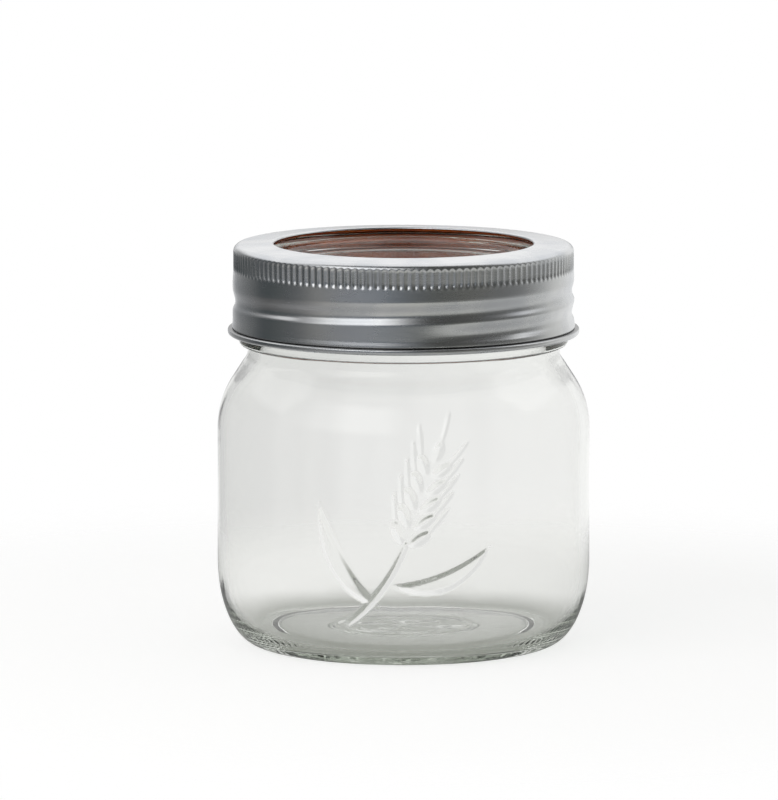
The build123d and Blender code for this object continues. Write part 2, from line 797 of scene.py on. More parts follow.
@dataclass(frozen=True)
class Helix:
    """The line of a right-hand thread.

    It passes the start angle at the start height, and climbs a pitch a turn for the given turns. Its
    depth rises and falls along smooth steps over the fade at each end.
    """

    start_angle: float
    start_height: float
    pitch: float
    turns: float
    fade: float

    def passes(self, angles: np.ndarray) -> list[tuple[np.ndarray, np.ndarray]]:
        """Where the thread passes each column.

        Args:
            angles: the columns' angles in degrees.

        Returns:
            For each pass, the height of its line and how full it is, from 0 to 1, at each column.
        """
        first = np.mod(angles - self.start_angle, TURN)
        length = self.turns * TURN
        found = []
        for lap in range(math.ceil(self.turns)):
            travelled = first + lap * TURN
            full = smooth_step(travelled, 0.0, self.fade) * smooth_step(travelled, length, length - self.fade)
            found.append((self.start_height + self.pitch * travelled / TURN, full))
        return found


@dataclass(frozen=True)
class ThreadPair:
    """The groove rolled into the band, and the ridge on the glass that it hangs on.

    The ridge starts lead degrees before the groove and lies seat above the groove's line.
    """

    groove: Helix = Helix(start_angle=-88.0, start_height=87.85, pitch=5.75, turns=1.36, fade=24.0)
    lead: float = 12.0
    seat: float = 3.0
    turns: float = 1.5
    fade: float = 25.0

    def on_glass(self) -> Helix:
        """The line of the ridge on the glass.

        Returns:
            The line.
        """
        groove = self.groove
        height = groove.start_height + self.seat - groove.pitch * self.lead / TURN
        return Helix(groove.start_angle - self.lead, height, groove.pitch, self.turns, self.fade)


@dataclass(frozen=True)
class Stroke:
    """A raised stroke along a bent line through three control points, widest in the middle.

    blunt is the power that its width follows, edge how wide its flank is and tip_share how far from each
    end of the line its least width is taken.
    """

    start: Point
    middle: Point
    end: Point
    half_width: float
    blunt: float
    edge: float = 0.6
    tip_share: float = 0.02

    def share(self, across: np.ndarray, up: np.ndarray, samples: int = 40) -> np.ndarray:
        """How high the stroke stands at each point.

        The line is the quadratic curve of its control points. The half width along it is the full one
        times the sine of the way along, to the power blunt. A point's share is a smooth step of how far
        it lies inside that width, over the edge or over the half width where that is less.

        Args:
            across: the points' places along the wall.
            up: the points' heights.
            samples: how many places on the line are tried.

        Returns:
            The share of the full height, from 0 to 1.
        """
        t = np.linspace(0.0, 1.0, samples)[:, None]
        line = (
            (1 - t) ** 2 * np.array(self.start)
            + 2 * t * (1 - t) * np.array(self.middle)
            + t**2 * np.array(self.end)
        )
        way = np.clip(t[:, 0], self.tip_share, 1.0 - self.tip_share)
        width = self.half_width * np.sin(np.pi * way) ** self.blunt
        reach = np.hypot(across[..., None] - line[:, 0], up[..., None] - line[:, 1])
        return smooth_step((width - reach).max(axis=-1), 0.0, min(self.edge, self.half_width))


@dataclass
class WheatSprig:
    """The raised ornament on the front wall: an ear of wheat on a bent stalk with two leaves.

    Points are across from the wall's middle and up from the base. foot and tip are the stalk's ends, and
    each leaf has three control points. Grains stand in pairs along the ear, each with an awn that starts
    a little below the grain's end and turns towards the ear's axis.
    """

    foot: Point = (-15.0, 12.5)
    bend: Point = (-5.0, 20.0)
    neck: Point = (0.5, 34.0)
    tip: Point = (8.5, 57.0)
    stalk_half_width: float = 0.9
    stalk_blunt: float = 0.15
    leaves: tuple[tuple[Point, Point, Point], ...] = (
        ((-7.0, 17.5), (-20.0, 25.0), (-23.0, 44.0)),
        ((-2.5, 23.0), (12.0, 20.0), (23.5, 33.0)),
    )
    leaf_half_width: float = 2.3
    leaf_blunt: float = 0.8
    pairs: int = 5
    top_grain_share: float = 0.96
    grain_length: float = 6.6
    grain_shrink_share: float = 0.2
    grain_half_width: float = 1.6
    grain_blunt: float = 0.6
    grain_edge: float = 1.2
    grain_lean: float = 38.0
    grain_offset: float = 1.3
    grain_bulge: float = 1.2
    awn_length: float = 8.0
    awn_half_width: float = 0.5
    awn_blunt: float = 0.3
    awn_overlap: float = 0.6
    awn_way_share: float = 0.55
    height: float = 0.65

    def strokes(self) -> list[Stroke]:
        """The sprig's stalk, leaves, grains and awns.

        Returns:
            All the strokes.
        """
        neck, tip = np.array(self.neck), np.array(self.tip)
        axis = (tip - neck) / np.linalg.norm(tip - neck)
        found = [Stroke(self.foot, self.bend, self.neck, self.stalk_half_width, self.stalk_blunt)]
        found.extend(Stroke(*leaf, self.leaf_half_width, self.leaf_blunt) for leaf in self.leaves)
        for i in range(self.pairs):
            share = i / self.pairs
            root = neck + (tip - neck) * share
            for side in (-1.0, 1.0):
                found.extend(self._grain(root, axis, side * self.grain_lean, share))
        found.extend(self._grain(neck + (tip - neck) * self.top_grain_share, axis, 0.0, 1.0))
        return found

    def _grain(self, root: np.ndarray, axis: np.ndarray, lean: float, share: float) -> list[Stroke]:
        """A grain and its awn, leaning out from the ear's axis.

        Args:
            root: where the grain starts.
            axis: the ear's direction.
            lean: the angle from the axis in degrees, to either side.
            share: the way up the ear.

        Returns:
            The grain's stroke and the awn's.
        """
        turn = math.radians(-lean)
        swing = np.array([[math.cos(turn), -math.sin(turn)], [math.sin(turn), math.cos(turn)]])
        way = swing @ axis
        outward = way - axis * (way @ axis)
        start = root + outward * self.grain_offset
        end = start + way * self.grain_length * (1.0 - self.grain_shrink_share * share)
        middle = (start + end) / 2 + outward * self.grain_bulge
        far = end + (way * self.awn_way_share + axis * (1.0 - self.awn_way_share)) * self.awn_length
        near = end - way * self.awn_overlap
        bulging = (tuple(start), tuple(middle), tuple(end))
        straight = (tuple(near), tuple((near + far) / 2), tuple(far))
        return [
            Stroke(*bulging, self.grain_half_width, self.grain_blunt, self.grain_edge),
            Stroke(*straight, self.awn_half_width, self.awn_blunt),
        ]

    def relief(self, across: np.ndarray, up: np.ndarray) -> np.ndarray:
        """How far the glass stands out: the highest of the strokes' shares, times the height.

        Args:
            across: the points' places along the wall from its middle.
            up: the points' heights.

        Returns:
            The relief in millimetres.
        """
        highest = np.zeros(across.shape)
        for stroke in self.strokes():
            highest = np.maximum(highest, stroke.share(across, up))
        return highest * self.height


@dataclass(frozen=True)
class Wave:
    """A slow wave round the wall: its depth, how many there are, where they start, and their climb.

    climb is the height over which the wave turns by one radian.
    """

    depth: float
    count: int
    start: float
    climb: float


@dataclass
class GlassJar:
    """The jar's glass: foot, heel, wall with the sprig, shoulder, neck, collar bead, thread and rim."""

    box: NodeBox
    thread: Helix
    wall: float = 2.2
    neck_radius: float = 41.8
    shoulder_angle: float = 33.0
    shoulder_radius: float = 24.0
    neck_fillet: float = 4.5
    heel_rise: float = 22.5
    heel_run: float = 10.8
    bearing_width: float = 3.4
    bearing_fillet: float = 0.6
    push_up: float = 1.6
    push_up_slope: float = 2.0
    push_up_fillet: float = 1.5
    floor_height: float = 3.6
    heel_thinning: float = 4.0
    heel_rows: int = 18
    finish_radius: float = 43.9
    bore_radius: float = 38.4
    bore_fillet: float = 8.0
    rim_round: float = 0.9
    bead_bottom: float = 80.65
    bead_reach: float = 2.35
    bead_rise: float = 3.5
    bead_corner: float = 1.1
    bead_slope_fillet: float = 2.0
    bead_upright_share: float = 0.6
    bead_root: float = 0.2
    neck_below_bead: float = 2.55
    neck_thickening: float = 2.0
    thread_height: float = 1.0
    thread_half_width: float = 1.5
    ring_radii: tuple[float, ...] = (11.5, 18.5)
    ring_height: float = 0.6
    ring_half_width: float = 1.3
    petals: int = 5
    petal_reach: Pair = (2.0, 17.5)
    petal_height: float = 0.9
    waves: tuple[Wave, ...] = (
        Wave(0.10, 2, 0.4, 30.0),
        Wave(0.05, 5, 1.1, -18.0),
        Wave(0.025, 13, 0.0, 40.0),
        Wave(0.010, 29, 2.0, -60.0),
    )
    waves_begin: Pair = (10.0, 25.0)
    waves_end: Pair = (80.0, 68.0)
    columns: int = 240
    crowding: Crowding = Crowding()
    sprig: WheatSprig = field(default_factory=WheatSprig)
    sprig_reach: float = 26.0
    sprig_margin: float = 3.0
    sprig_heel_rows: int = 24

    @property
    def foot(self) -> float:
        """The outer radius of the foot, where the heel's ellipse is centred."""
        return self.box.radius - self.heel_run

    @property
    def slope(self) -> float:
        """How far the shoulder goes in for each millimetre up."""
        return math.tan(math.radians(self.shoulder_angle))

    @property
    def neck_height(self) -> float:
        """Where the shoulder's straight part would meet the neck."""
        return self.bead_bottom - self.neck_below_bead

    @property
    def shoulder_height(self) -> float:
        """Where the shoulder's straight part would meet the wall."""
        return self.neck_height - (self.box.radius - self.neck_radius) / self.slope

    def _underside(self) -> np.ndarray:
        """The push-up and the ring that the jar stands on, from the middle out.

        Returns:
            Rows of radius and height.
        """
        inner_foot = self.foot - self.bearing_width
        return outline(
            (POLE_RADIUS, self.push_up),
            [
                Leg(inner_foot - self.push_up_slope, self.push_up, self.push_up_fillet, step=1.0),
                Leg(inner_foot, 0.0, self.bearing_fillet, step=0.5),
                Leg(self.foot, 0.0, step=1.0),
            ],
        )

    def _heel(self) -> np.ndarray:
        """The outside of the heel, a quarter of an ellipse. Finer rows start a margin below the sprig.

        Returns:
            Rows of radius and height.
        """
        sprig_bottom = self.sprig.foot[1] - self.sprig_margin
        lower = arc((self.foot, self.heel_rise), (self.heel_run, self.heel_rise), -90.0, 0.0, step=1.0)
        rise = np.linspace(sprig_bottom, self.heel_rise, self.sprig_heel_rows)[:, None]
        run = self.foot + self.heel_run * np.sqrt(1.0 - ((rise - self.heel_rise) / self.heel_rise) ** 2)
        return np.vstack((lower[lower[:, 1] < sprig_bottom], np.hstack((run, rise))))

    def _collar(self) -> np.ndarray:
        """The collar bead: a fillet at the neck, a rounded lower edge and a slope up to the finish.

        Returns:
            Rows of radius and height.
        """
        bead = self.neck_radius + self.bead_reach
        upright_top = self.bead_bottom + self.bead_rise * self.bead_upright_share
        return outline(
            (self.neck_radius, self.bead_bottom - 2.0 * self.bead_root),
            [
                Leg(self.neck_radius, self.bead_bottom, self.bead_root, step=0.1),
                Leg(bead, self.bead_bottom, self.bead_corner, step=0.15),
                Leg(bead, upright_top, self.bead_slope_fillet, step=0.2),
                Leg(self.finish_radius, self.bead_bottom + self.bead_rise, step=0.4),
            ],
        )

    def outside(self) -> tuple[np.ndarray, np.ndarray, np.ndarray]:
        """The outside of the section, from the middle of the underside to the rim.

        Returns:
            The outline's rows of radius and height in three stretches: the underside, the wall up to the
            collar bead, and the finish above it.
        """
        collar = self._collar()
        wall = outline(
            (self.box.radius, self.heel_rise),
            [
                Leg(self.box.radius, self.shoulder_height, self.shoulder_radius, step=0.42),
                Leg(self.neck_radius, self.neck_height, self.neck_fillet, step=0.8),
                Leg(*collar[0], step=0.5),
            ],
        )
        finish = outline(
            tuple(collar[-1]),
            [
                Leg(self.finish_radius, self.box.top, self.rim_round, step=0.42),
                Leg(self.bore_radius, self.box.top, self.rim_round, step=0.6),
                Leg(self.bore_radius, self.box.top - 2.0 * self.rim_round, step=0.6),
            ],
        )
        return self._underside(), np.vstack((self._heel()[1:], wall[1:], collar[1:])), finish[1:]

    def inside(self) -> np.ndarray:
        """The inside of the section, from the rim down to the middle of the floor.

        In the heel it lies a thickness inside the outer ellipse, along the ellipse's normal. The thickness
        goes from the wall's to the floor's with a power of the sine of the way round.

        Returns:
            The outline's rows of radius and height.
        """
        inner = self.box.radius - self.wall
        inner_shoulder = self.shoulder_height - self.wall * math.tan(math.radians(self.shoulder_angle / 2))
        inner_neck = inner_shoulder + (inner - self.bore_radius) / self.slope - self.neck_thickening
        upper = outline(
            (self.bore_radius, self.box.top - 2.0 * self.rim_round),
            [
                Leg(self.bore_radius, inner_neck, self.bore_fillet, step=1.6),
                Leg(inner, inner_shoulder, self.shoulder_radius - self.wall, step=1.2),
                Leg(inner, self.heel_rise, step=1.5),
            ],
        )
        turn = np.linspace(0.0, np.pi / 2, self.heel_rows)[1:]
        across, down = np.cos(turn), np.sin(turn)
        outer = np.column_stack((self.foot + self.heel_run * across, self.heel_rise * (1.0 - down)))
        normal = np.column_stack((across / self.heel_run, -down / self.heel_rise))
        normal /= np.linalg.norm(normal, axis=1, keepdims=True)
        thickness = self.wall + (self.floor_height - self.wall) * down**self.heel_thinning
        heel = outer - normal * thickness[:, None]
        floor = outline((self.foot, self.floor_height), [Leg(POLE_RADIUS, self.floor_height, step=2.4)])
        return np.vstack((upper[1:], heel, floor[1:]))

    def _wavy(self, rows: np.ndarray, angles: np.ndarray) -> np.ndarray:
        """How unevenly the inside of the wall was blown.

        The shift is the sum of the waves, each its depth times a sine of its count times the angle plus
        its start plus the height over its climb. It comes and goes smoothly at both ends of the wall.

        Args:
            rows: the inside's rows of radius and height.
            angles: the columns' angles in degrees.

        Returns:
            A shift of the radius, rows by columns.
        """
        turn = np.radians(angles)[None, :]
        z = rows[:, 1:]
        shift = sum(w.depth * np.sin(w.count * turn + w.start + z / w.climb) for w in self.waves)
        return shift * smooth_step(z, *self.waves_begin) * smooth_step(z, *self.waves_end)

    def _moulded(self, rows: np.ndarray, angles: np.ndarray) -> np.ndarray:
        """How far the underside's rings and petals stand out.

        Each ring is a ridge about its radius. The petals are the square of a cosine of the angle times a
        sine of the way along their reach, to the power of a half.

        Args:
            rows: the underside's rows of radius and height.
            angles: the columns' angles in degrees.

        Returns:
            The relief, rows by columns.
        """
        radius = rows[:, :1]
        rings = ridge((radius - np.array(self.ring_radii)) / self.ring_half_width).sum(axis=1, keepdims=True)
        near, far = self.petal_reach
        along = np.clip((radius - near) / (far - near), 0.0, 1.0)
        lobes = np.cos(np.radians(angles)[None, :] * self.petals / 2) ** 2
        return self.ring_height * rings + self.petal_height * lobes * np.sqrt(np.sin(along * np.pi))

    def _sprig_relief(self, rows: np.ndarray, angles: np.ndarray) -> np.ndarray:
        """The sprig's relief on the wall, worked out only where it reaches.

        Args:
            rows: the wall's rows of radius and height.
            angles: the columns' angles in degrees.

        Returns:
            The relief, rows by columns.
        """
        across = np.radians(angles - FRONT) * self.box.radius
        near = np.abs(across) < self.sprig_reach
        relief = np.zeros((len(rows), len(angles)))
        relief[:, near] = self.sprig.relief(*np.broadcast_arrays(across[near], rows[:, 1:]))
        return relief

    def _thread_relief(self, rows: np.ndarray, angles: np.ndarray) -> np.ndarray:
        """The thread's relief on the outside of the finish: a ridge about the helix.

        Args:
            rows: the finish's rows of radius and height.
            angles: the columns' angles in degrees.

        Returns:
            The relief, rows by columns.
        """
        on_outside = np.isclose(rows[:, :1], self.finish_radius)
        passes = self.thread.passes(angles)
        shares = sum(ridge((rows[:, 1:] - line) / self.thread_half_width) * full for line, full in passes)
        return self.thread_height * shares * on_outside

    def build(self, glass: bpy.types.Material) -> bpy.types.Object:
        """Builds the jar's glass from its turned section and the relief of each stretch.

        Args:
            glass: the glass.

        Returns:
            The piece.
        """
        angles = self.crowding.columns(self.columns, self.box.radius)
        under, wall, finish = self.outside()
        inside = self.inside()
        skin = Skin()
        skin.add_pole(self.push_up)
        skin.add(turned(under, angles, up=-self._moulded(under, angles)))
        skin.add(turned(wall, angles, out=self._sprig_relief(wall, angles)))
        skin.add(turned(finish, angles, out=self._thread_relief(finish, angles)))
        skin.add(turned(inside, angles, out=self._wavy(inside, angles)))
        skin.add_pole(self.floor_height)
        return skin.build("jar_glass", [glass])


@dataclass
class GlassLid:
    """The dished glass lid: a flat rim, a stepped recess on top and a plug that hangs in the mouth.

    Depths are below the lid's top. The rim lies rim_gap under the band and falls outwards with it.
    """

    box: NodeBox
    ring_top: float
    recess_rim_radius: float = 36.1
    recess_wall_run: float = 1.3
    recess_fillet: float = 0.6
    shelf_depth: float = 2.6
    shelf_width: float = 1.9
    shelf_fall: float = 0.6
    recess_depth: float = 5.2
    recess_slope_run: float = 2.2
    floor_fillet: float = 0.8
    plug_depth: float = 5.9
    plug_radius: float = 37.9
    plug_taper: float = 0.7
    plug_fillet: float = 1.0
    plug_root_fillet: float = 0.5
    under_offset: float = 0.5
    under_fillets: Pair = (2.0, 1.5)
    glass: float = 2.5
    edge_round: float = 0.7
    rim_gap: float = 0.1
    rim_fall: float = 0.45
    columns: int = 300

    def build(self, glass: bpy.types.Material) -> bpy.types.Object:
        """Builds the lid from one turned section with rounded corners.

        Args:
            glass: the glass.

        Returns:
            The piece.
        """
        top = self.box.top
        shelf_outer = self.recess_rim_radius - self.recess_wall_run
        shelf_inner = shelf_outer - self.shelf_width
        floor_radius = shelf_inner - self.recess_slope_run
        shelf = top - self.shelf_depth
        floor = top - self.recess_depth
        under_floor = floor - self.glass
        under = top - self.plug_depth
        floor_under_fillet, shelf_under_fillet = self.under_fillets
        section = outline(
            (POLE_RADIUS, under_floor),
            [
                Leg(floor_radius + self.under_offset, under_floor, floor_under_fillet, step=2.0),
                Leg(shelf_inner + self.under_offset, under, shelf_under_fillet, step=0.6),
                Leg(self.plug_radius - self.plug_taper, under, self.plug_fillet, step=0.6),
                Leg(self.plug_radius, self.ring_top, self.plug_root_fillet, step=0.5),
                Leg(self.box.radius, self.ring_top, self.edge_round, step=0.6),
                Leg(self.box.radius, top - self.rim_gap - self.rim_fall, self.edge_round, step=0.4),
                Leg(self.recess_rim_radius, top - self.rim_gap, self.edge_round, step=0.6),
                Leg(shelf_outer, shelf + self.shelf_fall / 2, self.recess_fillet, step=0.3),
                Leg(shelf_inner, shelf - self.shelf_fall / 2, self.recess_fillet, step=0.3),
                Leg(floor_radius, floor, self.floor_fillet, step=0.3),
                Leg(POLE_RADIUS, floor, step=2.0),
            ],
        )
        skin = Skin()
        skin.add_pole(under_floor)
        skin.add(turned(section, even_columns(self.columns)))
        skin.add_pole(floor)
        return skin.build("lid_glass", [glass])


@dataclass
class SealingRing:
    """The flat rubber ring, with soft edges, pressed a little into the lid above it."""

    box: NodeBox
    inner_radius: float = 38.9
    edge_round: float = 0.35
    sunk: float = 0.02
    columns: int = 240

    def build(self, rubber: bpy.types.Material) -> bpy.types.Object:
        """Builds the ring from a closed section with four rounded corners.

        Args:
            rubber: the rubber.

        Returns:
            The piece.
        """
        low, high = self.box.bottom, self.box.top + self.sunk
        middle = (self.inner_radius, (low + high) / 2)
        section = outline(
            middle,
            [
                Leg(self.inner_radius, low, self.edge_round, step=0.25),
                Leg(self.box.radius, low, self.edge_round, step=0.8),
                Leg(self.box.radius, high, self.edge_round, step=0.25),
                Leg(self.inner_radius, high, self.edge_round, step=0.8),
                Leg(*middle, step=0.25),
            ],
        )
        skin = Skin()
        skin.add(turned(section[1:], even_columns(self.columns)))
        return skin.build("rubber_ring", [rubber], wrap=True)


@dataclass
class ScrewBand:
    """The screw band: one sheet with a hem, a flat top, a fluted grip, a rolled thread and a rolled bead.

    Heights named rise are above the band's lower edge. The flat top falls outwards by crown_fall.
    """

    box: NodeBox
    thread: Helix
    sheet: float = 0.4
    wall_radius: float = 45.8
    corner: float = 1.8
    opening_radius: float = 34.8
    hem_depth: float = 1.1
    hem_round: float = 0.5
    hem_fit_share: float = 0.98
    crown_fall: float = 0.5
    lacquer_bottom: float = 95.5
    bead_drop: float = 0.05
    bead_reach: float = 0.2
    bead_round: float = 0.5
    bead_under_round: float = 0.7
    bead_inner_round: float = 0.3
    bead_tuck: float = 0.1
    flare: float = 0.17
    flare_rise: float = 3.3
    flare_full: float = 2.3
    flare_fillets: Pair = (1.0, 0.8)
    crease_rise: float = 1.62
    crease_depth: float = 0.15
    crease_height: float = 0.2
    groove_depth: float = 0.7
    groove_above: float = 4.1
    groove_below: float = 2.35
    flutes: int = 144
    flute_depth: float = 0.42
    flute_share: float = 0.9
    flute_lean_share: float = 0.4
    flute_late_share: float = 0.5
    grip_inset: float = 0.2
    grip_blend: float = 3.0
    grip_fillet: float = 4.0
    grip_rows: int = 20
    inner_grip_rows: int = 6
    inner_grip_top: float = 0.8
    knurl_bottom: float = 100.4
    knurl_top: float = 106.45
    knurl_end: float = 1.5
    knurl_margin: float = 0.1
    points_per_flute: int = 8
    points_left_out: int = 3

    @property
    def grip_radius(self) -> float:
        """The radius of the grip between its flutes."""
        return self.wall_radius - self.grip_inset

    @property
    def grip_bottom(self) -> float:
        """Where the skirt takes over from the grip."""
        return self.knurl_bottom - self.knurl_margin / 2

    @property
    def edge(self) -> float:
        """How high the flat top would end at the wall."""
        return self.box.top - self.crown_fall

    @property
    def crease(self) -> float:
        """The height of the crease above the bead."""
        return self.box.bottom + self.crease_rise

    def _fluted(self, rows: np.ndarray, angles: np.ndarray) -> np.ndarray:
        """How deep the flutes are pressed.

        Across a flute the depth is 1 less the square of the distance from its middle over the half width
        of its own share of the pitch. Both ends are rounded: they start later by a share of the end's
        length that grows with the square of that distance. The lean makes a flute deeper as it goes down.

        Args:
            rows: the rows of radius and height.
            angles: the columns' angles in degrees.

        Returns:
            The depth, rows by columns.
        """
        place = np.mod(angles * self.flutes / TURN, 1.0) - 0.5
        aside = np.clip(np.abs(place) / (self.flute_share / 2), 0.0, 1.0)[None, :]
        z = rows[:, 1:]
        late = self.flute_late_share * self.knurl_end * aside**2
        rise = smooth_step((z - self.knurl_bottom - late) / self.knurl_end, 0.0, 1.0)
        fall = smooth_step((self.knurl_top - late - z) / self.knurl_end, 0.0, 0.5)
        way_up = np.clip((z - self.knurl_bottom) / (self.knurl_top - self.knurl_bottom), 0.0, 1.0)
        return self.flute_depth * (1.0 - aside**2) * rise * fall * (1.0 - self.flute_lean_share * way_up)

    def _grooved(self, rows: np.ndarray, angles: np.ndarray) -> np.ndarray:
        """How deep the thread is rolled in.

        The depth is a ridge about the thread's line, with a long flank above the line and a short one
        below it. Where two passes meet, the deeper one counts.

        Args:
            rows: the rows of radius and height.
            angles: the columns' angles in degrees.

        Returns:
            The depth, rows by columns.
        """
        depth = np.zeros((len(rows), len(angles)))
        for line, full in self.thread.passes(angles):
            off = rows[:, 1:] - line
            away = np.where(off > 0.0, off / self.groove_above, off / self.groove_below)
            depth = np.maximum(depth, ridge(away) * full)
        return depth * self.groove_depth

    def _pressed(self, rows: np.ndarray, angles: np.ndarray) -> np.ndarray:
        """Turns rows into rings, with flutes and thread pressed into those of the upright wall.

        Args:
            rows: the rows of radius and height.
            angles: the columns' angles in degrees.

        Returns:
            Points, rows by columns by three.
        """
        upright = rows[:, :1] > self.wall_radius - self.corner / 2
        depth = self._fluted(rows, angles) + self._grooved(rows, angles)
        return turned(rows, angles, out=-depth * upright)

    def _crown(self) -> tuple[np.ndarray, np.ndarray, np.ndarray]:
        """The outside from the hem over the flat top and down the grip.

        The corner's arc starts where the falling top meets it, square to the arc's radius.

        Returns:
            Rows of radius and height: the lip in the opening, the flat top, and the corner with the grip.
        """
        top = self.box.top
        lip_top = (self.opening_radius, top - self.hem_round)
        corner_radius = self.grip_radius - self.corner
        shoulder = self.edge - self.corner
        fall = math.degrees(math.atan(self.crown_fall / (corner_radius - self.opening_radius)))
        bend = arc((corner_radius, shoulder), (self.corner, self.corner), 90.0 - fall, 0.0, step=0.16)
        lip = outline((self.opening_radius, top - self.hem_depth), [Leg(*lip_top, step=0.2)])
        flat = outline(
            lip_top,
            [
                Leg(self.opening_radius, top, self.hem_round * self.hem_fit_share, step=0.1),
                Leg(*bend[0], step=0.8),
            ],
        )
        heights = np.linspace(shoulder, self.grip_bottom, self.grip_rows)[1:]
        grip = np.column_stack((np.full(len(heights), self.grip_radius), heights))
        return lip, flat[1:], np.vstack((bend[1:], grip))

    def _skirt(self) -> np.ndarray:
        """The outside below the grip, and the bead round to the inside.

        Returns:
            Rows of radius and height.
        """
        base, wall, inner = self.box.bottom, self.wall_radius, self.wall_radius - self.sheet
        flare_start, flare_end = self.flare_fillets
        crease = (wall - self.crease_depth, self.crease)
        skirt = outline(
            (self.grip_radius, self.grip_bottom),
            [
                Leg(wall, self.knurl_bottom - self.grip_blend, self.grip_fillet, step=0.4),
                Leg(wall, base + self.flare_rise, flare_start, step=0.33),
                Leg(wall + self.flare, base + self.flare_full, flare_end, step=0.2),
                Leg(wall + self.flare, self.crease + self.crease_height, step=0.2),
                Leg(*crease, step=0.12),
            ],
        )
        edge, bottom = self.box.radius + self.bead_reach, base - self.bead_drop
        bead = outline(
            crease,
            [
                Leg(edge, self.crease - self.bead_tuck, self.bead_round, step=0.14),
                Leg(edge, bottom, self.bead_under_round, step=0.18),
                Leg(inner, bottom, self.bead_inner_round, step=0.3),
                Leg(inner, self.crease - self.bead_tuck, step=0.4),
            ],
        )
        return np.vstack((skirt[1:], bead[1:]))

    def _lining(self) -> tuple[np.ndarray, np.ndarray, np.ndarray]:
        """The inside, a sheet's thickness further in, from the bead up to the hem.

        Returns:
            Rows of radius and height: the skirt, the grip, and the crown with the hem.
        """
        inner, inner_grip = self.wall_radius - self.sheet, self.grip_radius - self.sheet
        inner_opening = self.opening_radius + self.sheet
        skirt = outline((inner, self.crease), [Leg(inner, self.grip_bottom, step=0.8)])
        heights = np.linspace(self.knurl_bottom, self.knurl_top - self.inner_grip_top, self.inner_grip_rows)
        grip = np.column_stack((np.full(len(heights), inner_grip), heights))
        crown = outline(
            (inner_grip, self.knurl_top - self.inner_grip_top + self.knurl_margin),
            [
                Leg(inner_grip, self.edge - self.sheet, self.corner - self.sheet, step=0.4),
                Leg(inner_opening, self.box.top - self.sheet, self.hem_round - self.sheet, step=0.9),
                Leg(inner_opening, self.box.top - self.hem_depth, step=0.3),
            ],
        )
        return skirt, grip, crown

    def build(self, tinplate: bpy.types.Material, lacquer: bpy.types.Material) -> bpy.types.Object:
        """Builds the band as one closed sheet.

        The outside goes from the hem over the flat top and down the wall to the bead, and the inside
        goes back up. Only the grip has a fine ring of columns.

        Args:
            tinplate: the outside's material.
            lacquer: the material of the inside's upper part.

        Returns:
            The piece.
        """
        fine = even_columns(self.flutes * self.points_per_flute)
        coarse = fine[:: self.points_left_out]
        lip, flat, grip = self._crown()
        skirt, inner_grip, inner_crown = self._lining()
        knurled = grip[:, 1] < self.knurl_top + self.knurl_margin
        bare = skirt[:, 1] < self.lacquer_bottom
        skin = Skin()
        for rows, angles, slot in (
            (lip, coarse, 1),
            (flat, coarse, 0),
            (grip[~knurled], coarse, 0),
            (grip[knurled], fine, 0),
            (self._skirt(), coarse, 0),
            (skirt[bare], coarse, 0),
            (skirt[~bare], coarse, 1),
            (inner_grip, fine, 1),
            (inner_crown, coarse, 1),
        ):
            skin.add(self._pressed(rows, angles), slot)
        return skin.build("screw_band_sheet", [tinplate, lacquer], wrap=True, turn_over=True)


@dataclass(frozen=True)
class Viewpoint:
    """The camera at the photograph's viewing angle.

    It looks straight along +Y and down by the elevation. axis_pixel and base_pixel are where the jar's
    axis and base stand in the photograph, and the two scales are its pixels for a millimetre there.
    """

    photo_width: int = 778
    photo_height: int = 800
    axis_pixel: float = 403.5
    base_pixel: float = 640.8
    pixels_per_mm_across: float = 3.725
    pixels_per_mm_up: float = 3.687
    distance: float = 2100.0
    elevation: float = 8.0
    sensor: float = 36.0
    clip: Pair = (0.1, 20.0)

    def build(self) -> None:
        """Makes the camera: its focal length, in pixels, is the scale times the distance."""
        data = bpy.data.cameras.new("camera")
        focal_pixels = self.pixels_per_mm_across * self.distance
        data.sensor_width = self.sensor
        data.lens = focal_pixels / max(self.photo_width, self.photo_height) * self.sensor
        data.clip_start, data.clip_end = self.clip
        aside = (self.photo_width / 2 - self.axis_pixel) / self.pixels_per_mm_across
        level = (self.base_pixel - self.photo_height / 2) / self.pixels_per_mm_up
        down = math.radians(self.elevation)
        camera = bpy.data.objects.new("camera", data)
        back, up = -self.distance * math.cos(down), level + self.distance * math.sin(down)
        camera.location = (aside * MM, back * MM, up * MM)
        camera.rotation_euler = (math.radians(90.0 - self.elevation), 0.0, 0.0)
        bpy.context.scene.collection.objects.link(camera)
        bpy.context.scene.camera = camera


